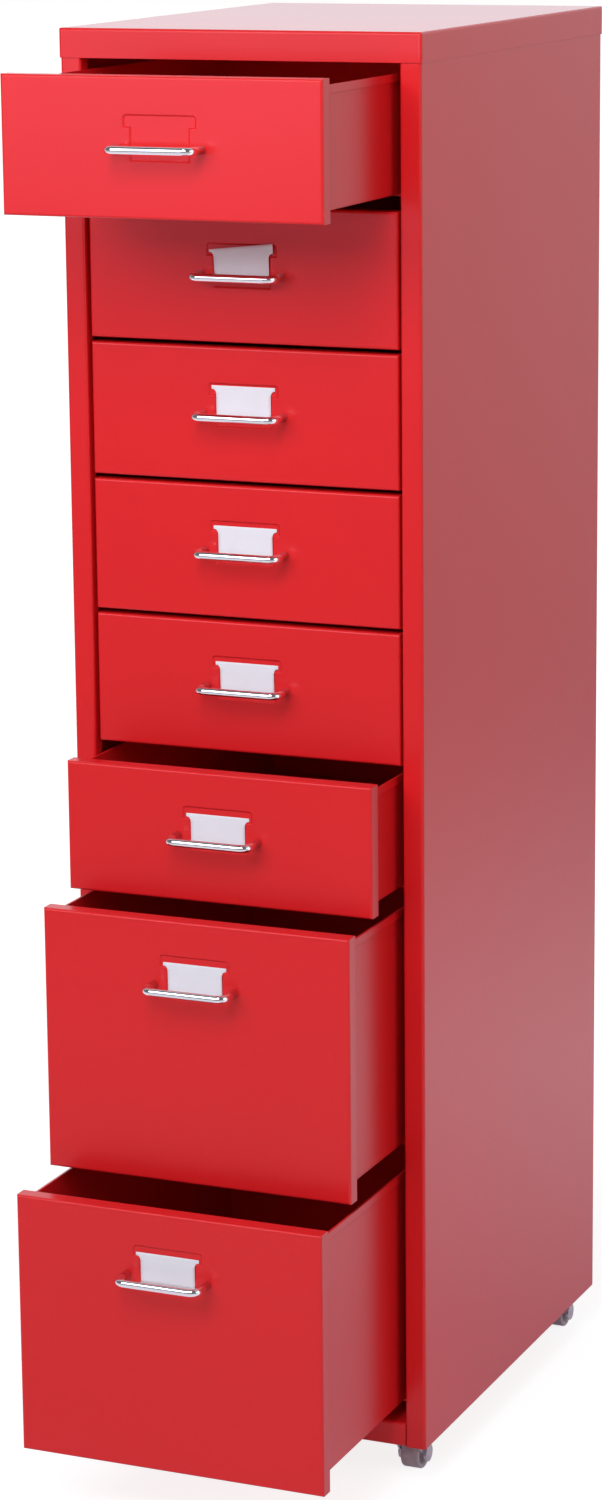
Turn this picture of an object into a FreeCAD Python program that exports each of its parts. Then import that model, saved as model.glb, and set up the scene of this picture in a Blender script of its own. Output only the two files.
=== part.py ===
import FreeCAD, Part
import math
import os

# A narrow sheet steel cabinet on four small swivel castors, with six shallow and two deep drawers.
# X runs across the front, Y from the front to the back, and Z up from the floor.
# The origin is on the floor, in the middle of the footprint with the drawers pulled out as listed.

# Carcass sheet and folds
sheet = 0.8
fold_radius = 2.0
least_radius = 0.2
touch = 0.1

# Carcass
body_width = 278.4
body_depth = 380.0
stile_width = 16.0
stile_return = 12.0
rear_flange = 15.0
cap_skirt = 21.3
cap_return = 10.0
rail_height = 18.8
rail_return = 12.0
floor_edge = 15.0

# Stack of drawers, from the top one down, in units of the pitch
drawer_units = (1, 1, 1, 1, 1, 1, 2, 2)
pitch = 100.5
front_gap = 3.5
gap_above_stack = 2.9
gap_below_stack = 2.2
gap_beside_front = 2.6

# How far each drawer is pulled out from closed, and how far it can go
openings = (133.6, 0.0, 0.0, 0.0, 0.0, 55.5, 99.2, 153.6)
travel = 290.0
closed_setback = 2.5

# How far each drawer hangs below its place in the stack
sags = (0.0, 0.0, 0.0, 0.0, 0.0, 0.0, 0.0, 1.6)

# Drawer front, a shallow pan
front_depth = 12.0
front_sheet = 0.8
front_fold = 1.8

# Pressed recess for the label card: widths are halves, drops are measured from the top of the front
recess_depth = 1.2
recess_bevel = 1.4
recess_lead = 0.4
recess_wing = 27.8
recess_stem = 22.9
recess_top_drop = 25.5
recess_shoulder_drop = 35.4
recess_bottom_drop = 58.2
recess_radius = 3.0
backing_margin = 0.4

# Label card
card_thickness = 0.5
card_wing = 24.9
card_stem = 21.4
card_wing_height = 2.6
card_play = 0.1
card_lifts = (0.0, 1.9, 3.5, 1.6, 1.3, 0.2, 0.0, 0.2)
crooked_card = 2
crooked_low_wing = 1.6
crooked_high_wing = 7.0
crooked_lean_degrees = 4.5

# Handle, a wire of many flat sides whose bends are turned in equal steps
handle_drop = 48.5
handle_wire = 6.0
wire_sides = 20
handle_spacing = 63.4
handle_projection = 23.0
handle_bend = 6.5
bend_steps = 3

# Drawer tray
tray_sheet = 0.8
tray_inset = 4.2
tray_drop = 5.0
shallow_lift = 8.0
deep_lift = 12.0
tray_rear_room = 12.0
hem_height = 6.0
hem_thickness = 1.0
stop_reach = 1.3
stop_height = 12.0
stop_thickness = 1.2
stop_play = 0.5

# Runners
runner_sheet = 1.2
runner_bearing = 10.0
runner_web = 18.0
runner_gap = 0.3
runner_front_gap = 1.0
runner_rear_gap = 6.0

# Castors
castor_inset_x = 25.2
castor_inset_y = 29.5
castor_height = 33.5
castor_trail = 13.5
plate_size = 36.0
plate_thickness = 2.0
plate_corner = 3.0
kingpin_diameter = 5.0
kingpin_head_radius = 4.0
kingpin_head_height = 1.2
head_sides = 12
swivel_gap = 0.3
fork_sheet = 1.5
fork_room = 7.8
fork_front = 8.5
fork_rear = 5.0
fork_bevel = 2.5
wheel_radius = 12.5
wheel_width = 15.0
axle_radius = 2.0
axle_head_radius = 6.8
axle_head_thickness = 2.2
running_play = 0.05

# Castor cross rails
cross_rail_width = 33.0
cross_rail_gap = 0.2

# Sizes that follow
body_half = body_width / 2
opening_half = body_half - stile_width
front_half = opening_half - gap_beside_front
tray_half = front_half - tray_inset
stack_height = sum(drawer_units) * pitch - front_gap
body_height = rail_height + gap_below_stack + stack_height + gap_above_stack + cap_skirt
floor_z = castor_height
stack_top = floor_z + body_height - cap_skirt - gap_above_stack
front_reach = max(openings) - closed_setback + handle_projection
front_plane = (front_reach - body_depth - sheet) / 2
rear_plane = front_plane + body_depth
tray_length = body_depth - closed_setback - front_depth - tray_rear_room
castor_x = body_half - castor_inset_x
castor_front_y = front_plane + castor_inset_y
castor_rear_y = rear_plane - castor_inset_y


def vec(x, y, z):
    return FreeCAD.Vector(x, y, z)


ORIGIN = vec(0, 0, 0)
ACROSS = vec(1, 0, 0)
BACK = vec(0, 1, 0)
UP = vec(0, 0, 1)


def rounded_wire(corners):
    """A closed wire through corners, each a point and a radius, with a tangent arc at each."""
    starts = []
    middles = []
    ends = []
    count = len(corners)
    for index, (point, radius) in enumerate(corners):
        to_before = (corners[index - 1][0] - point).normalize()
        to_after = (corners[(index + 1) % count][0] - point).normalize()
        half_angle = to_before.getAngle(to_after) / 2
        reach = radius / math.tan(half_angle)
        bisector = (to_before + to_after).normalize()
        starts.append(point + to_before * reach)
        middles.append(point + bisector * (radius / math.sin(half_angle) - radius))
        ends.append(point + to_after * reach)
    edges = []
    for index in range(count):
        if corners[index][1] > 0:
            edges.append(Part.Arc(starts[index], middles[index], ends[index]).toShape())
        edges.append(Part.LineSegment(ends[index], starts[(index + 1) % count]).toShape())
    return Part.Wire(edges)


def folded(path, thickness, bend, normal):
    """The section of a folded sheet: path is its outer face, and the sheet lies to the left of it."""
    steps = [(path[i + 1] - path[i]).normalize() for i in range(len(path) - 1)]
    sides = [normal.cross(step) for step in steps]
    inner_bend = max(bend - thickness, least_radius)
    outer = [(path[0], 0)]
    inner = [(path[0] + sides[0] * thickness, 0)]
    for index in range(1, len(path) - 1):
        blend = sides[index - 1] + sides[index]
        shift = blend * (thickness / (1 + sides[index - 1].dot(sides[index])))
        outer.append((path[index], bend))
        inner.append((path[index] + shift, inner_bend))
    outer.append((path[-1], 0))
    inner.append((path[-1] + sides[-1] * thickness, 0))
    return Part.Face(rounded_wire(outer + inner[::-1]))


def block(low, high):
    """A box between two corners."""
    size = high - low
    return Part.makeBox(size.x, size.y, size.z, low)


def cylinder(radius, start, end):
    along = end - start
    return Part.makeCylinder(radius, along.Length, start, along)


def many_sided(centre, first, second, radius, sides):
    """A closed wire of equal sides about a centre, in the plane of two directions."""
    points = []
    for step in range(sides + 1):
        angle = 2 * math.pi * (step % sides) / sides
        points.append(centre + (first * math.cos(angle) + second * math.sin(angle)) * radius)
    return Part.makePolygon(points)


def mirrored(shape):
    """The same piece on the other side of the middle plane."""
    return shape.mirror(ORIGIN, ACROSS)


def section(corners, run):
    """A straight length with one section: corners as for rounded_wire, and run its length."""
    return Part.Face(rounded_wire(corners)).extrude(run)


def save(name, shapes):
    shape = shapes[0] if len(shapes) == 1 else Part.makeCompound(shapes)
    shape.exportStep("parts/" + name + ".step")


def folded_box(low, high, radius):
    """A box whose four front edges are rounded and meet in mitres."""
    size = high - low
    across = section([
        (vec(low.x, low.y, low.z), radius),
        (vec(low.x, low.y, high.z), radius),
        (vec(low.x, high.y, high.z), 0),
        (vec(low.x, high.y, low.z), 0),
    ], ACROSS * size.x)
    upright = section([
        (vec(low.x, low.y, low.z), radius),
        (vec(high.x, low.y, low.z), radius),
        (vec(high.x, high.y, low.z), 0),
        (vec(low.x, high.y, low.z), 0),
    ], UP * size.z)
    return across.common(upright)


def cap_block(low, high, radius):
    """A box open below: its top edges and its upright edges are rounded."""
    size = high - low
    across = section([
        (vec(low.x, low.y, low.z), 0),
        (vec(low.x, low.y, high.z), radius),
        (vec(low.x, high.y, high.z), radius),
        (vec(low.x, high.y, low.z), 0),
    ], ACROSS * size.x)
    along = section([
        (vec(low.x, low.y, low.z), 0),
        (vec(low.x, low.y, high.z), radius),
        (vec(high.x, low.y, high.z), radius),
        (vec(high.x, low.y, low.z), 0),
    ], BACK * size.y)
    upright = section([
        (vec(low.x, low.y, low.z), radius),
        (vec(high.x, low.y, low.z), radius),
        (vec(high.x, high.y, low.z), radius),
        (vec(low.x, high.y, low.z), radius),
    ], UP * size.z)
    return across.common(along).common(upright)


def top_panel():
    """The cap: a pan turned down over the carcass, with a return behind its front skirt."""
    top_z = floor_z + body_height
    skirt_z = top_z - cap_skirt
    low = vec(-body_half - sheet, front_plane - sheet, skirt_z)
    high = vec(body_half + sheet, rear_plane + sheet, top_z)
    hollow = block(vec(-body_half, front_plane, skirt_z), vec(body_half, rear_plane, top_z - sheet))
    shell = cap_block(low, high, fold_radius).cut(hollow)
    lip_low = vec(-opening_half, front_plane - sheet / 2, skirt_z)
    lip_high = vec(opening_half, front_plane + cap_return, skirt_z + sheet)
    return shell.fuse(block(lip_low, lip_high)).removeSplitter()


def side_panel():
    """The right side: a stile and its return at the front, and a flange at the back."""
    path = [
        vec(opening_half, front_plane + stile_return, floor_z),
        vec(opening_half, front_plane, floor_z),
        vec(body_half, front_plane, floor_z),
        vec(body_half, rear_plane, floor_z),
        vec(body_half - rear_flange, rear_plane, floor_z),
    ]
    return folded(path, sheet, fold_radius, UP).extrude(UP * (body_height - sheet))


def back_panel():
    """A flat sheet against the flanges of the sides, as wide as their bends leave room for."""
    edge = body_half - fold_radius
    low = vec(-edge, rear_plane - sheet * 2, floor_z)
    high = vec(edge, rear_plane - sheet, floor_z + body_height - sheet)
    return block(low, high)


def bottom_panel():
    """The floor: its front is folded down as the bottom rail, and its other edges as skirts."""
    top_z = floor_z + rail_height
    back_y = rear_plane - sheet * 2
    skirt_z = top_z - floor_edge
    path = [
        vec(-opening_half, front_plane + rail_return, floor_z),
        vec(-opening_half, front_plane, floor_z),
        vec(-opening_half, front_plane, top_z),
        vec(-opening_half, back_y, top_z),
        vec(-opening_half, back_y, skirt_z),
    ]
    pan = folded(path, sheet, fold_radius, -ACROSS).extrude(ACROSS * (opening_half * 2))
    edge = body_half - sheet
    wing_path = [
        vec(opening_half - touch, front_plane + stile_return, top_z),
        vec(edge, front_plane + stile_return, top_z),
        vec(edge, front_plane + stile_return, skirt_z),
    ]
    wing_run = back_y - front_plane - stile_return - fold_radius
    wing = folded(wing_path, sheet, fold_radius, BACK).extrude(BACK * wing_run)
    return pan.fuse([wing, mirrored(wing)]).removeSplitter()


def cross_rail(centre_y):
    """A channel under the floor that carries two castors."""
    half = cross_rail_width / 2
    edge = body_half - sheet - fold_radius - cross_rail_gap
    web_z = floor_z + rail_height - sheet
    outer = block(vec(-edge, centre_y - half, floor_z), vec(edge, centre_y + half, web_z))
    inner = block(vec(-edge, centre_y - half + sheet, floor_z + sheet),
                  vec(edge, centre_y + half - sheet, web_z))
    return outer.cut(inner)


def tray_lift(units):
    return shallow_lift if units == 1 else deep_lift


def runner(top_of_front, units):
    """A right-hand angle on the side panel, which one edge of the tray slides on."""
    bottom_of_front = top_of_front - units * pitch + front_gap
    top_z = bottom_of_front + tray_lift(units) - runner_gap
    low_z = top_z - runner_sheet
    start_y = front_plane + closed_setback + front_depth + runner_front_gap
    end_y = rear_plane - sheet * 2 - runner_rear_gap
    wall_x = body_half - sheet
    return section([
        (vec(wall_x, start_y, low_z + runner_web), 0),
        (vec(wall_x, start_y, low_z), 0),
        (vec(tray_half - runner_bearing, start_y, low_z), 0),
        (vec(tray_half - runner_bearing, start_y, top_z), 0),
        (vec(wall_x - runner_sheet, start_y, top_z), 0),
        (vec(wall_x - runner_sheet, start_y, low_z + runner_web), 0),
    ], BACK * (end_y - start_y))


def recess_outline(top, y, margin, corner):
    """The letter T of the recess in the plane y, larger all round by the margin."""
    wing = recess_wing + margin
    stem = recess_stem + margin
    high = top - recess_top_drop + margin
    shoulder = top - recess_shoulder_drop - margin
    bottom = top - recess_bottom_drop - margin
    return [
        (vec(-wing, y, high), corner),
        (vec(wing, y, high), corner),
        (vec(wing, y, shoulder), 0),
        (vec(stem, y, shoulder), 0),
        (vec(stem, y, bottom), 0),
        (vec(-stem, y, bottom), 0),
        (vec(-stem, y, shoulder), 0),
        (vec(-wing, y, shoulder), 0),
    ]


def pressing(top, face_y):
    """The T-shaped hollow, whose walls slope in to its floor, with a lead in front of the face."""
    outline = recess_outline(top, face_y - recess_lead, 0, recess_radius)
    tool = section(outline, BACK * (recess_lead + recess_depth))
    floor_y = face_y + recess_depth
    rim = [edge for edge in tool.Edges if edge.CenterOfMass.y > floor_y - touch]
    return tool.makeChamfer(recess_bevel, rim)


def drawer_front(top, height, face_y):
    """A pan with rolled edges and a pressed recess for the label card."""
    rear_y = face_y + front_depth
    low = vec(-front_half, face_y, top - height)
    high = vec(front_half, rear_y, top)
    rim = vec(front_sheet, 0, front_sheet)
    pan = folded_box(low, high, front_fold).cut(block(low + rim + BACK * front_sheet, high - rim))
    outline = recess_outline(top, face_y + front_sheet / 2, backing_margin, 0)
    backing = section(outline, BACK * (recess_depth + front_sheet / 2))
    return pan.fuse(backing).cut(pressing(top, face_y)).removeSplitter()


def drawer_tray(top, height, face_y, units):
    """The welded sheets behind the front: its inner wall, a floor, a rear, and sides with hems and stops."""
    front_y = face_y + front_depth
    rear_y = front_y + tray_length
    low_z = top - height + tray_lift(units)
    deck_z = low_z + tray_sheet
    high_z = top - tray_drop
    inside = tray_half - tray_sheet
    wall = block(vec(-front_half + front_sheet, front_y - tray_sheet, top - height + front_sheet),
                 vec(front_half - front_sheet, front_y, top - front_sheet))
    deck = block(vec(-tray_half, front_y, low_z), vec(tray_half, rear_y, deck_z))
    rear = block(vec(-inside, rear_y - tray_sheet, deck_z), vec(inside, rear_y, high_z))
    side = block(vec(inside, front_y, deck_z), vec(tray_half, rear_y, high_z))
    hem = block(vec(tray_half, front_y, high_z - hem_height),
                vec(tray_half + hem_thickness, rear_y, high_z))
    stop_y = face_y + stile_return + travel + stop_play - closed_setback
    stop_z = (low_z + high_z) / 2
    stop = block(vec(tray_half, stop_y, stop_z - stop_height / 2),
                 vec(opening_half + sheet + stop_reach, stop_y + stop_thickness, stop_z + stop_height / 2))
    return [wall, deck, rear, side, mirrored(side), hem, mirrored(hem), stop, mirrored(stop)]


def handle(top, face_y):
    """A wire bent to a wide U, each bend turned in equal steps."""
    half = handle_spacing / 2
    z = top - handle_drop
    bar_y = face_y - handle_projection + handle_wire / 2
    centre = vec(half - handle_bend, bar_y + handle_bend, z)
    corner_reach = handle_bend / math.cos(math.pi / bend_steps / 4)
    bend = []
    for step in range(bend_steps):
        angle = math.pi / 2 * (step + 0.5) / bend_steps
        bend.append(centre + (ACROSS * math.cos(angle) - BACK * math.sin(angle)) * corner_reach)
    right = [vec(half, face_y, z)] + bend
    left = [vec(-point.x, point.y, point.z) for point in right[::-1]]
    path = Part.makePolygon(right + left)
    ring = many_sided(right[0], ACROSS, UP, handle_wire / 2, wire_sides)
    return path.makePipeShell([ring], True, True, 1)


def label_card(number, top, face_y):
    """A card with two wings, slipped up a little from the shoulders of the recess."""
    lift = recess_bevel + card_play + card_lifts[number - 1]
    shoulder = top - recess_shoulder_drop + lift
    bottom = top - recess_bottom_drop + lift
    left_rise = card_wing_height
    right_rise = card_wing_height
    if number == crooked_card:
        left_rise = crooked_low_wing
        right_rise = crooked_high_wing
    back_y = face_y + recess_depth
    outline = [
        (vec(-card_wing, back_y, shoulder + left_rise), 0),
        (vec(card_wing, back_y, shoulder + right_rise), 0),
        (vec(card_wing, back_y, shoulder), 0),
        (vec(card_stem, back_y, shoulder), 0),
        (vec(card_stem, back_y, bottom), 0),
        (vec(-card_stem, back_y, bottom), 0),
        (vec(-card_stem, back_y, shoulder), 0),
        (vec(-card_wing, back_y, shoulder), 0),
    ]
    card = section(outline, BACK * -card_thickness)
    if number == crooked_card:
        card.rotate(vec(0, back_y, bottom), ACROSS, crooked_lean_degrees)
    return card


def castor_plate(centre):
    """The fixed plate, with the kingpin riveted through it and its head below the fork."""
    half = plate_size / 2
    low_z = centre.z - plate_thickness
    seat = vec(centre.x, centre.y, low_z)
    inner = half - plate_corner
    corners = []
    for x, y in ((half, inner), (inner, half), (-inner, half), (-half, inner),
                 (-half, -inner), (-inner, -half), (inner, -half), (half, -inner)):
        corners.append((seat + vec(x, y, 0), 0))
    plate = section(corners, UP * plate_thickness)
    neck = seat - UP * (swivel_gap * 2 + fork_sheet)
    pin = cylinder(kingpin_diameter / 2, seat, neck)
    rim = many_sided(neck, ACROSS, BACK, kingpin_head_radius, head_sides)
    head = Part.Face(rim).extrude(UP * -kingpin_head_height)
    return plate.fuse([pin, head])


def axle_centre(centre):
    return vec(centre.x, centre.y + castor_trail, wheel_radius)


def axle_head(face, outward):
    """The head of the axle on the outer face of a leg."""
    rim = many_sided(face, BACK, UP, axle_head_radius, head_sides)
    return Part.Face(rim).extrude(outward * axle_head_thickness)


def castor_fork(centre):
    """The swivel: a crown over the wheel and a leaning leg each side, with the axle through them."""
    outer = fork_room + fork_sheet
    crown_z = centre.z - plate_thickness - swivel_gap
    axle = axle_centre(centre)
    low_z = axle.z - fork_rear
    front_y = centre.y - fork_front
    rear_y = axle.y + fork_rear
    side = section([
        (vec(centre.x - outer, front_y, crown_z), 0),
        (vec(centre.x - outer, rear_y - fork_bevel, crown_z), 0),
        (vec(centre.x - outer, rear_y, crown_z - fork_bevel), 0),
        (vec(centre.x - outer, rear_y, low_z + fork_bevel), 0),
        (vec(centre.x - outer, rear_y - fork_bevel, low_z), 0),
        (vec(centre.x - outer, axle.y - fork_rear + fork_bevel, low_z), 0),
        (vec(centre.x - outer, axle.y - fork_rear, low_z + fork_bevel), 0),
        (vec(centre.x - outer, front_y, crown_z - fork_sheet), 0),
    ], ACROSS * (outer * 2))
    room = block(vec(centre.x - fork_room, front_y, low_z),
                 vec(centre.x + fork_room, rear_y, crown_z - fork_sheet))
    bore = cylinder(kingpin_diameter / 2 + running_play,
                    vec(centre.x, centre.y, crown_z), vec(centre.x, centre.y, low_z))
    pin = cylinder(axle_radius, axle - ACROSS * (fork_room + fork_sheet / 2),
                   axle + ACROSS * (fork_room + fork_sheet / 2))
    heads = [axle_head(axle + ACROSS * outer, ACROSS), axle_head(axle - ACROSS * outer, -ACROSS)]
    return side.cut([room, bore]).fuse([pin] + heads).removeSplitter()


def castor_wheel(centre):
    axle = axle_centre(centre)
    end = ACROSS * (wheel_width / 2)
    tread = cylinder(wheel_radius, axle - end, axle + end)
    return tread.cut(cylinder(axle_radius + running_play, axle - end, axle + end))


def build_carcass():
    side = side_panel()
    save("top_panel", [top_panel()])
    save("right_side_panel", [side])
    save("left_side_panel", [mirrored(side)])
    save("back_panel", [back_panel()])
    save("bottom_panel", [bottom_panel()])
    save("castor_rails", [cross_rail(castor_front_y), cross_rail(castor_rear_y)])


def build_drawers():
    runners = []
    place = stack_top
    for number, units in enumerate(drawer_units, 1):
        top = place - sags[number - 1]
        height = units * pitch - front_gap
        face_y = front_plane + closed_setback - openings[number - 1]
        name = "drawer_" + str(number)
        save(name + "_front", [drawer_front(top, height, face_y)])
        save(name + "_tray", drawer_tray(top, height, face_y, units))
        save(name + "_handle", [handle(top, face_y)])
        if number > 1:
            save(name + "_card", [label_card(number, top, face_y)])
        angle = runner(top, units)
        runners.extend([angle, mirrored(angle)])
        place -= units * pitch
    save("runners", runners)


def build_castors():
    places = {
        "front_left": vec(-castor_x, castor_front_y, floor_z),
        "front_right": vec(castor_x, castor_front_y, floor_z),
        "rear_left": vec(-castor_x, castor_rear_y, floor_z),
        "rear_right": vec(castor_x, castor_rear_y, floor_z),
    }
    plates = []
    for name, centre in places.items():
        plates.append(castor_plate(centre))
        save("fork_" + name, [castor_fork(centre)])
        save("wheel_" + name, [castor_wheel(centre)])
    save("castor_plates", plates)


os.makedirs("parts", exist_ok=True)
build_carcass()
build_drawers()
build_castors()
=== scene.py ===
import bpy
import bmesh
import math
from mathutils import Matrix, Vector


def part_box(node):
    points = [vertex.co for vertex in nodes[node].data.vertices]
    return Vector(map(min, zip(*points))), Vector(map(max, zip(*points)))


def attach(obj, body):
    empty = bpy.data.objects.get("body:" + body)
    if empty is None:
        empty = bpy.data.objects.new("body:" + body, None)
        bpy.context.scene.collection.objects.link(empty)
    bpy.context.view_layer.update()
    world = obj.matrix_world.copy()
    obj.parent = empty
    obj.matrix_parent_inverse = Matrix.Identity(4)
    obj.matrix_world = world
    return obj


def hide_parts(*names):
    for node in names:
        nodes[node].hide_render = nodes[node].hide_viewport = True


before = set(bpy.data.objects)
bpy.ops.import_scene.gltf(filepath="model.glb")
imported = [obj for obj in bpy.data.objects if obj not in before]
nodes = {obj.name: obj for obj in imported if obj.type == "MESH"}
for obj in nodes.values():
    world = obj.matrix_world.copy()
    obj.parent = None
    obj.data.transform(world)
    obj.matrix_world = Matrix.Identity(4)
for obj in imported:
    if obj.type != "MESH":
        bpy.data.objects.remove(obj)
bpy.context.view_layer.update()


MM = 0.001
TINY = 1e-9  # metres, less than any size and more than rounding
UP = Vector((0, 0, 1))
WHITE = (1, 1, 1)
ROWS = range(1, 9)
CORNERS = ("front_left", "front_right", "rear_left", "rear_right")

# Building blocks of the node trees

# The colour sockets of a Mix node share their names with others, so they go by number
MIX_FIRST, MIX_SECOND, MIX_RESULT = 6, 7, 2


def add(tree, kind, **settings):
    """A node with some of its inputs or properties set by name."""
    node = tree.nodes.new(kind)
    for key, value in settings.items():
        if key in node.inputs:
            node.inputs[key].default_value = value
        else:
            setattr(node, key, value)
    return node


def new_material(name):
    """A new material, its node tree, its shader, and the object's own coordinates in metres."""
    material = bpy.data.materials.new(name)
    material.use_nodes = True
    tree = material.node_tree
    place = add(tree, "ShaderNodeTexCoord").outputs["Object"]
    return material, tree, tree.nodes["Principled BSDF"], place


def noise(tree, place, scale, detail, roughness=0.5):
    """Noise from 0 to 1 at a scale in cells per metre."""
    node = add(tree, "ShaderNodeTexNoise", Scale=scale, Detail=detail, Roughness=roughness)
    tree.links.new(place, node.inputs["Vector"])
    return node.outputs["Fac"]


def remap(tree, value, span, to_span):
    """A value carried from one span to another and held at its ends."""
    node = add(tree, "ShaderNodeMapRange")
    node.inputs["From Min"].default_value, node.inputs["From Max"].default_value = span
    node.inputs["To Min"].default_value, node.inputs["To Max"].default_value = to_span
    tree.links.new(value, node.inputs["Value"])
    return node.outputs["Result"]


def combine(tree, operation, first, second):
    """A Math node on two values."""
    node = add(tree, "ShaderNodeMath", operation=operation)
    tree.links.new(first, node.inputs[0])
    tree.links.new(second, node.inputs[1])
    return node.outputs[0]


def blend_colours(tree, factor, first, second):
    """A blend of two colours, each given by its numbers or as a socket."""
    node = tree.nodes.new("ShaderNodeMix")
    node.data_type = "RGBA"
    tree.links.new(factor, node.inputs["Factor"])
    for number, value in ((MIX_FIRST, first), (MIX_SECOND, second)):
        if isinstance(value, bpy.types.NodeSocket):
            tree.links.new(value, node.inputs[number])
        else:
            node.inputs[number].default_value = (*value, 1)
    return node.outputs[MIX_RESULT]


def bump(tree, shader, height, distance, strength, below=None):
    """A relief on the shader's normal, on top of the normal below it if one is given."""
    node = add(tree, "ShaderNodeBump", Strength=strength, Distance=distance)
    tree.links.new(height, node.inputs["Height"])
    if below is not None:
        tree.links.new(below, node.inputs["Normal"])
    tree.links.new(node.outputs["Normal"], shader.inputs["Normal"])


# Materials


def red_paint():
    """Powder coat: orange peel, a slow wave in the sheet, and a sheen at grazing angles."""
    material, tree, shader, place = new_material("red_powder_coat")
    slow = noise(tree, place, scale=5.0, detail=3.0)
    fine = noise(tree, place, scale=900.0, detail=2.0)
    peel = noise(tree, place, scale=420.0, detail=1.0)
    deep, warm, pale = (0.735, 0.0125, 0.0155), (0.765, 0.0135, 0.0165), (0.82, 0.03, 0.035)
    base = blend_colours(tree, remap(tree, slow, (0.3, 0.7), (0.0, 1.0)), deep, warm)
    speck = blend_colours(tree, remap(tree, fine, (0.62, 0.8), (0.0, 0.25)), base, pale)
    tree.links.new(speck, shader.inputs["Base Color"])
    facing = add(tree, "ShaderNodeLayerWeight").outputs["Facing"]
    gloss = remap(tree, facing, (0.7, 0.97), (0.0, 0.14))
    matt = remap(tree, slow, (0.0, 1.0), (0.285, 0.305))
    tree.links.new(combine(tree, "SUBTRACT", matt, gloss), shader.inputs["Roughness"])
    shader.inputs["IOR"].default_value = 1.43
    edges = add(tree, "ShaderNodeBevel", Radius=0.6 * MM, samples=4)
    bump(tree, shader, peel, 0.02 * MM, 0.5, below=edges.outputs["Normal"])
    return material


def chrome():
    """Polished wire with faint drawing lines and smears."""
    material, tree, shader, place = new_material("chrome_wire")
    stretched = add(tree, "ShaderNodeMapping", Scale=(12, 500, 500))
    tree.links.new(place, stretched.inputs["Vector"])
    lines = noise(tree, stretched.outputs["Vector"], scale=3.0, detail=3.0)
    smear = noise(tree, place, scale=90.0, detail=3.0)
    shade = blend_colours(tree, smear, (0.86, 0.86, 0.88), (0.93, 0.93, 0.94))
    tree.links.new(shade, shader.inputs["Base Color"])
    shader.inputs["Metallic"].default_value = 1.0
    tree.links.new(remap(tree, smear, (0.3, 0.7), (0.05, 0.11)), shader.inputs["Roughness"])
    bump(tree, shader, lines, 0.01 * MM, 0.5)
    return material


def paper():
    """Matte card with a faint fibre and grey tone."""
    material, tree, shader, place = new_material("card_paper")
    fibre = noise(tree, place, scale=1400.0, detail=4.0, roughness=0.7)
    tone = noise(tree, place, scale=60.0, detail=2.0)
    shade = blend_colours(tree, tone, (0.80, 0.80, 0.83), (0.86, 0.86, 0.89))
    share = remap(tree, fibre, (0.55, 0.8), (0.0, 0.4))
    tree.links.new(blend_colours(tree, share, shade, (0.72, 0.72, 0.75)),
                   shader.inputs["Base Color"])
    tree.links.new(remap(tree, fibre, (0.3, 0.7), (0.7, 0.85)), shader.inputs["Roughness"])
    shader.inputs["Specular IOR Level"].default_value = 0.3
    bump(tree, shader, fibre, 0.03 * MM, 0.5)
    return material


def castor_zinc():
    """Grey zinc on pressed steel, a little cloudy, with a pink cast that is a painted reflection of
    the red cabinet.
    """
    material, tree, shader, place = new_material("castor_zinc")
    cloud = noise(tree, place, scale=260.0, detail=4.0, roughness=0.6)
    share = remap(tree, cloud, (0.3, 0.7), (0.0, 1.0))
    # Both greys lean pink: a painted reflection of the red cabinet, on top of the zinc's grey
    tree.links.new(blend_colours(tree, share, (0.42, 0.36, 0.39), (0.60, 0.54, 0.57)),
                   shader.inputs["Base Color"])
    shader.inputs["Metallic"].default_value = 0.75
    tree.links.new(remap(tree, cloud, (0.3, 0.7), (0.28, 0.45)), shader.inputs["Roughness"])
    bump(tree, shader, cloud, 0.04 * MM, 0.5)
    return material


def wheel_grey():
    """Grey moulded plastic with a fine grain and dust, and a pink cast that is a painted reflection
    of the red cabinet.
    """
    material, tree, shader, place = new_material("wheel_grey")
    grain = noise(tree, place, scale=2600.0, detail=2.0)
    dust = noise(tree, place, scale=180.0, detail=4.0, roughness=0.6)
    share = remap(tree, dust, (0.35, 0.75), (0.0, 1.0))
    # Both greys lean pink: a painted reflection of the red cabinet, on top of the grey and its dust
    tree.links.new(blend_colours(tree, share, (0.50, 0.40, 0.45), (0.74, 0.62, 0.67)),
                   shader.inputs["Base Color"])
    tree.links.new(remap(tree, dust, (0.3, 0.7), (0.38, 0.6)), shader.inputs["Roughness"])
    bump(tree, shader, grain, 0.03 * MM, 0.4)
    return material


RED = red_paint()
CHROME = chrome()
PAPER = paper()
ZINC = castor_zinc()
WHEEL = wheel_grey()


def paint(obj, material):
    """The material on every slot of a CAD node."""
    if not obj.material_slots:
        obj.data.materials.append(material)
    for slot in obj.material_slots:
        slot.link = "OBJECT"
        slot.material = material


for name, obj in nodes.items():
    if name.endswith("_handle"):
        paint(obj, CHROME)
    elif name.endswith("_card"):
        paint(obj, PAPER)
    elif name.startswith("wheel_"):
        paint(obj, WHEEL)
    elif name.startswith("fork_") or name == "castor_plates":
        paint(obj, ZINC)
    else:
        paint(obj, RED)

# Pieces that stand for plain nodes


def new_piece(name, vertices, faces, material, body, node):
    """A smooth mesh that rides on a body and stands for a node of it."""
    mesh = bpy.data.meshes.new(name)
    mesh.from_pydata(vertices, [], faces)
    mesh.materials.append(material)
    obj = bpy.data.objects.new(name, mesh)
    bpy.context.scene.collection.objects.link(obj)
    work = bmesh.new()
    work.from_mesh(mesh)
    bmesh.ops.recalc_face_normals(work, faces=work.faces)
    work.to_mesh(mesh)
    work.free()
    for face in mesh.polygons:
        face.use_smooth = True
    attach(obj, body)
    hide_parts(node)
    return obj


def bearings(turn, steps, count):
    """Cosine and sine at the first so many of even steps through a turn."""
    angles = [turn * step / steps for step in range(count)]
    return [(math.cos(angle), math.sin(angle)) for angle in angles]


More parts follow.
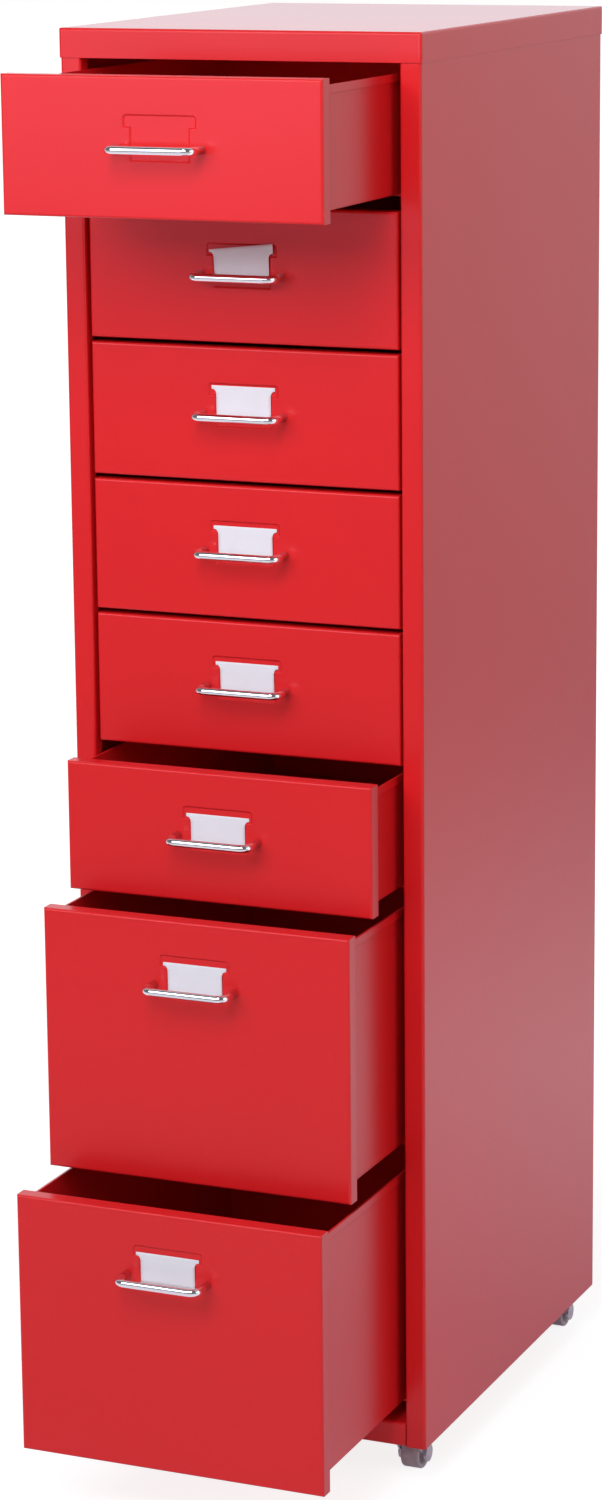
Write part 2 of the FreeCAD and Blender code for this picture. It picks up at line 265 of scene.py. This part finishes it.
def grid_faces(rows, columns, closed):
    """Quads between rows of equal length, or between rings if closed."""
    faces = []
    for row in range(rows - 1):
        near, far = row * columns, (row + 1) * columns
        for column in range(columns if closed else columns - 1):
            after = (column + 1) % columns
            faces.append((near + column, near + after, far + after, far + column))
    return faces


BEND_RADIUS = 6.5 * MM
BEND_STEPS = 14
WIRE_SIDES = 32


def tube(path, radius):
    """Vertices and faces of a round wire along a level path, with closed ends."""
    vertices = []
    for index, point in enumerate(path):
        before = path[max(index - 1, 0)]
        after = path[min(index + 1, len(path) - 1)]
        outward = (after - before).normalized().cross(UP)
        for across, above in bearings(2 * math.pi, WIRE_SIDES, WIRE_SIDES):
            vertices.append(point + outward * (radius * across) + UP * (radius * above))
    faces = grid_faces(len(path), WIRE_SIDES, True)
    faces.append(tuple(range(WIRE_SIDES)))
    faces.append(tuple(range(len(vertices) - WIRE_SIDES, len(vertices))))
    return vertices, faces


def make_handle(row):
    """The wire of one handle with its smooth bends."""
    node = "drawer_%d_handle" % row
    low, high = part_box(node)
    radius = (high.z - low.z) / 2
    middle = (high.z + low.z) / 2
    bend_x = high.x - radius - BEND_RADIUS
    bend_y = low.y + radius + BEND_RADIUS
    path = [Vector((high.x - radius, high.y, middle))]
    for across, ahead in bearings(math.pi / 2, BEND_STEPS, BEND_STEPS + 1):
        path.append(Vector((bend_x + BEND_RADIUS * across, bend_y - BEND_RADIUS * ahead, middle)))
    path += [Vector((-point.x, point.y, point.z)) for point in path[::-1]]
    vertices, faces = tube(path, radius)
    new_piece("handle_wire_%d" % row, vertices, faces,
              CHROME, "drawer_%d" % row, node)


CROOKED_ROW = 2  # the row whose card was cut crooked and leans forward the most
CARD_STEM = 21.4 * MM  # half the width below the wings
CARD_FILLET = 3.4 * MM
CARD_TUCK = 2.0 * MM  # how far the card ends above its node's foot
CARD_THICKNESS = 0.3 * MM
CARD_CLEAR = 0.12 * MM  # from its middle to the rear face of its node
CARD_BOW = 0.28 * MM
CARD_CURL = 0.25 * MM
CARD_FILLET_STEPS = 6
CARD_STEM_STEPS = 16
CARD_WING_ROWS = 5
CARD_STEM_ROWS = 7


def make_card(row):
    """One label card: a T with rounded shoulders, a little bowed, standing in its recess."""
    node = "drawer_%d_card" % row
    low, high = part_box(node)
    crooked = row == CROOKED_ROW
    wing = high.x
    rise_left, rise_right = (1.6 * MM, 7.0 * MM) if crooked else (2.6 * MM, 2.6 * MM)
    lean = math.radians(4.5 if crooked else 0.9)
    curl_share = 1 if crooked or row % 2 else 0.6
    foot = low.z + CARD_TUCK
    shoulder = high.z - rise_right
    columns = [-wing]
    for step in range(CARD_FILLET_STEPS + 1):
        columns.append(-(CARD_STEM + CARD_FILLET) + CARD_FILLET * step / CARD_FILLET_STEPS)
    for step in range(1, CARD_STEM_STEPS):
        columns.append(-CARD_STEM + 2 * CARD_STEM * step / CARD_STEM_STEPS)
    columns += [-x for x in columns[CARD_FILLET_STEPS + 1::-1]]

    def lower_edge(x):
        """The underside of the wings, which curves down into the stem."""
        reach = min(CARD_STEM + CARD_FILLET - abs(x), CARD_FILLET)
        if reach <= 0:
            return shoulder
        return shoulder - CARD_FILLET + math.sqrt(max(CARD_FILLET ** 2 - reach ** 2, 0))

    def upper_edge(x):
        """The straight top edge."""
        share = (x + wing) / (2 * wing)
        return shoulder + rise_left * (1 - share) + rise_right * share

    vertices = []
    for level in range(CARD_WING_ROWS):
        for x in columns:
            bottom = lower_edge(x)
            height = (upper_edge(x) - bottom) * level / (CARD_WING_ROWS - 1)
            vertices.append(Vector((x, 0, bottom + height)))
    faces = grid_faces(CARD_WING_ROWS, len(columns), False)

    # The stem hangs from the middle columns of the lowest row
    stem_top = [index for index, x in enumerate(columns) if abs(x) <= CARD_STEM + TINY]
    above = stem_top
    for level in range(1, CARD_STEM_ROWS):
        below = list(range(len(vertices), len(vertices) + len(stem_top)))
        for index in stem_top:
            top = vertices[index]
            drop = (foot - top.z) * level / (CARD_STEM_ROWS - 1)
            vertices.append(Vector((top.x, 0, top.z + drop)))
        for column in range(len(stem_top) - 1):
            faces.append((above[column], below[column], below[column + 1], above[column + 1]))
        above = below

    for point in vertices:
        height = point.z - foot
        arch = math.sin(math.pi * height / (shoulder - foot + rise_left))
        bow = CARD_BOW * (1 - (point.x / wing) ** 2) * arch
        curl = CARD_CURL * (abs(point.x) / wing) ** 3 * curl_share
        point.y = high.y - CARD_CLEAR - bow - curl - height * math.tan(lean)
    obj = new_piece("label_card_%d" % row, vertices, faces,
                    PAPER, "drawer_%d" % row, node)
    thick = obj.modifiers.new("thick", "SOLIDIFY")
    thick.thickness = CARD_THICKNESS
    thick.offset = 0.0


# The side of a wheel from its bore to its tread: the share of half its width, and the radius in mm
WHEEL_SIDE = ((0.98, 2.1), (0.98, 4.2), (0.90, 4.7), (0.62, 5.0),
              (0.58, 5.6), (0.58, 8.2), (0.62, 8.8), (0.92, 9.2))
WHEEL_EDGE = 1.3 * MM
WHEEL_EDGE_STEPS = 6
WHEEL_SIDES = 64


def make_wheel(corner):
    """A small moulded wheel: a rounded tread, dished sides with a hub, and a bore."""
    node = "wheel_" + corner
    low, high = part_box(node)
    centre = (low + high) / 2
    radius = (high.z - low.z) / 2
    half = (high.x - low.x) / 2
    profile = [(half * share, reach * MM) for share, reach in WHEEL_SIDE]
    for across, above in bearings(math.pi / 2, WHEEL_EDGE_STEPS, WHEEL_EDGE_STEPS + 1):
        profile.append((half - WHEEL_EDGE + WHEEL_EDGE * across,
                        radius - WHEEL_EDGE + WHEEL_EDGE * above))
    profile.append((0, radius))
    outline = profile + [(-x, reach) for x, reach in profile[-2::-1]]
    vertices = []
    for x, reach in outline:
        for ahead, above in bearings(2 * math.pi, WHEEL_SIDES, WHEEL_SIDES):
            vertices.append(centre + Vector((x, reach * ahead, reach * above)))
    faces = grid_faces(len(outline), WHEEL_SIDES, True)
    last = (len(outline) - 1) * WHEEL_SIDES
    for step in range(WHEEL_SIDES):
        after = (step + 1) % WHEEL_SIDES
        faces.append((last + step, last + after, after, step))
    new_piece("castor_wheel_" + corner, vertices, faces, WHEEL, node, node)


for row in ROWS:
    make_handle(row)
    if row > 1:
        make_card(row)
for corner in CORNERS:
    make_wheel(corner)

# Camera, from the fit to the photograph
LENS = 97.913
SENSOR_HEIGHT = 36.0
YAW = math.radians(23.36)
PITCH = math.radians(13.007)
ROLL = math.radians(-0.584)
PLACE = Vector((1.19142, -2.76090, 1.23216))


def make_camera():
    """The camera at its place, turned by yaw, then tipped down, then rolled."""
    level = Vector((-math.sin(YAW), math.cos(YAW), 0))
    side = Vector((math.cos(YAW), math.sin(YAW), 0))
    ahead = level * math.cos(PITCH) - UP * math.sin(PITCH)
    over = UP * math.cos(PITCH) + level * math.sin(PITCH)
    right = side * math.cos(ROLL) + over * math.sin(ROLL)
    upright = over * math.cos(ROLL) - side * math.sin(ROLL)
    data = bpy.data.cameras.new("camera")
    data.lens = LENS
    data.sensor_fit = "VERTICAL"
    data.sensor_height = SENSOR_HEIGHT
    camera = bpy.data.objects.new("camera", data)
    bpy.context.scene.collection.objects.link(camera)
    turn = Matrix((right, upright, -ahead)).transposed()
    camera.matrix_world = Matrix.Translation(PLACE) @ turn.to_4x4()
    bpy.context.scene.camera = camera


make_camera()

# Floor, world and lamps
FLOOR_HALF = 20.0
MIRROR_REACH = 8.0  # metres from the cabinet over which the floor's glow in mirrors is given
MIRROR_GLOW = ((0.04, (0.38, 0.38, 0.48)), (0.13, (0.86, 0.88, 1.0)),
               (0.33, (0.40, 0.40, 0.45)), (0.80, (0.62, 0.62, 0.66)))


def add_shaders(tree, first, second):
    """The light of two shaders together."""
    node = add(tree, "ShaderNodeAddShader")
    tree.links.new(first, node.inputs[0])
    tree.links.new(second, node.inputs[1])
    return node.outputs[0]


def floor_glow(tree, place, rays):
    """What the floor gives off: near white to the camera, and bands by distance to mirrors."""
    away = add(tree, "ShaderNodeVectorMath", operation="LENGTH")
    tree.links.new(place, away.inputs[0])
    distance = away.outputs["Value"]
    # The floor turns white with distance, and near the cabinet the shadow still shows
    plain_glow = add(tree, "ShaderNodeEmission", Color=(*WHITE, 1))
    bright = remap(tree, distance, (0.5, 1.6), (0.84, 1.0))
    tree.links.new(combine(tree, "MULTIPLY", rays.outputs["Is Camera Ray"], bright),
                   plain_glow.inputs["Strength"])
    ramp = tree.nodes.new("ShaderNodeValToRGB")
    tree.links.new(remap(tree, distance, (0.0, MIRROR_REACH), (0.0, 1.0)), ramp.inputs["Fac"])
    stops = ramp.color_ramp.elements
    for stop, (position, colour) in ((stops[0], MIRROR_GLOW[0]), (stops[1], MIRROR_GLOW[-1])):
        stop.position, stop.color = position, (*colour, 1)
    for position, colour in MIRROR_GLOW[1:-1]:
        stops.new(position).color = (*colour, 1)
    mirrored = add(tree, "ShaderNodeEmission")
    tree.links.new(ramp.outputs["Color"], mirrored.inputs["Color"])
    # The floor in front is darker in mirrors than the floor behind
    split = add(tree, "ShaderNodeSeparateXYZ")
    tree.links.new(place, split.inputs[0])
    dimmed = remap(tree, split.outputs["Y"], (-0.55, -0.15), (0.25, 1.0))
    tree.links.new(combine(tree, "MULTIPLY", rays.outputs["Is Glossy Ray"], dimmed),
                   mirrored.inputs["Strength"])
    return add_shaders(tree, plain_glow.outputs[0], mirrored.outputs[0])


def make_floor():
    """A pale plain floor that keeps the shadow of the cabinet."""
    mesh = bpy.data.meshes.new("floor")
    corners = [(x * FLOOR_HALF, y * FLOOR_HALF, 0) for x, y in ((-1, -1), (1, -1), (1, 1), (-1, 1))]
    mesh.from_pydata(corners, [], [(0, 1, 2, 3)])
    floor = bpy.data.objects.new("floor", mesh)
    bpy.context.scene.collection.objects.link(floor)
    material, tree, shader, place = new_material("pale_floor")
    cloud = noise(tree, place, scale=2.0, detail=2.0)
    rays = add(tree, "ShaderNodeLightPath")
    shade = blend_colours(tree, cloud, (0.70, 0.70, 0.70), (0.72, 0.72, 0.72))
    seen = blend_colours(tree, rays.outputs["Is Camera Ray"], shade, (0.42, 0.44, 0.44))
    tree.links.new(seen, shader.inputs["Base Color"])
    tree.links.new(remap(tree, cloud, (0.3, 0.7), (0.9, 1.0)), shader.inputs["Roughness"])
    shader.inputs["Specular IOR Level"].default_value = 0.0
    whole = add_shaders(tree, shader.outputs[0], floor_glow(tree, place, rays))
    tree.links.new(whole, tree.nodes["Material Output"].inputs["Surface"])
    mesh.materials.append(material)


def choose(tree, share, first, second):
    """The second shader where the share is one, and the first elsewhere."""
    node = add(tree, "ShaderNodeMixShader")
    tree.links.new(share, node.inputs["Fac"])
    tree.links.new(first, node.inputs[1])
    tree.links.new(second, node.inputs[2])
    return node.outputs[0]


def make_world():
    """White for the camera, soft light, and for mirrors white behind and dark in front."""
    world = bpy.data.worlds.new("studio")
    world.use_nodes = True
    tree = world.node_tree
    tree.nodes.clear()
    soft = add(tree, "ShaderNodeBackground", Color=(*WHITE, 1), Strength=0.25)
    room = add(tree, "ShaderNodeBackground", Color=(0.97, 0.98, 1.04, 1))
    white = add(tree, "ShaderNodeBackground", Color=(*WHITE, 1), Strength=1.0)
    split = add(tree, "ShaderNodeSeparateXYZ")
    tree.links.new(add(tree, "ShaderNodeTexCoord").outputs["Generated"], split.inputs[0])
    tree.links.new(remap(tree, split.outputs["Y"], (-0.1, 0.6), (0.14, 1.13)),
                   room.inputs["Strength"])
    rays = add(tree, "ShaderNodeLightPath").outputs
    lit = choose(tree, rays["Is Glossy Ray"], soft.outputs[0], room.outputs[0])
    seen = combine(tree, "MAXIMUM", rays["Is Camera Ray"], rays["Is Transmission Ray"])
    output = tree.nodes.new("ShaderNodeOutputWorld")
    tree.links.new(choose(tree, seen, lit, white.outputs[0]), output.inputs["Surface"])
    bpy.context.scene.world = world


# Name, place, target, width and height in metres, power in watts, colour
LAMPS = (
    ("panel", (-0.25, -1.80, 1.75), (-0.25, -0.1, 1.1), (2.2, 0.9), 28.5, (0.98, 0.98, 1.08)),
    ("glint", (-0.85, -2.00, 0.98), (0, -0.2, 1.02), (1.0, 0.25), 2.2, (0.9, 0.95, 1.3)),
    ("close", (0.25, -1.30, 2.00), (0, -0.15, 0.8), (0.4, 0.4), 4.8, WHITE),
    ("side", (2.60, -0.60, 1.30), (0.1, 0.0, 0.7), (1.5, 1.8), 11.5, WHITE),
)


def lamp(name, place, target, size, power, colour):
    """A rectangular area lamp at a place, aimed at a target."""
    data = bpy.data.lights.new(name, "AREA")
    data.shape = "RECTANGLE"
    data.size, data.size_y = size
    data.energy = power
    data.color = colour
    obj = bpy.data.objects.new(name, data)
    bpy.context.scene.collection.objects.link(obj)
    aim = (Vector(target) - Vector(place)).to_track_quat("-Z", "Y")
    obj.matrix_world = Matrix.Translation(place) @ aim.to_matrix().to_4x4()


make_floor()
make_world()
for settings in LAMPS:
    lamp(*settings)

bpy.context.scene.view_settings.view_transform = "Standard"
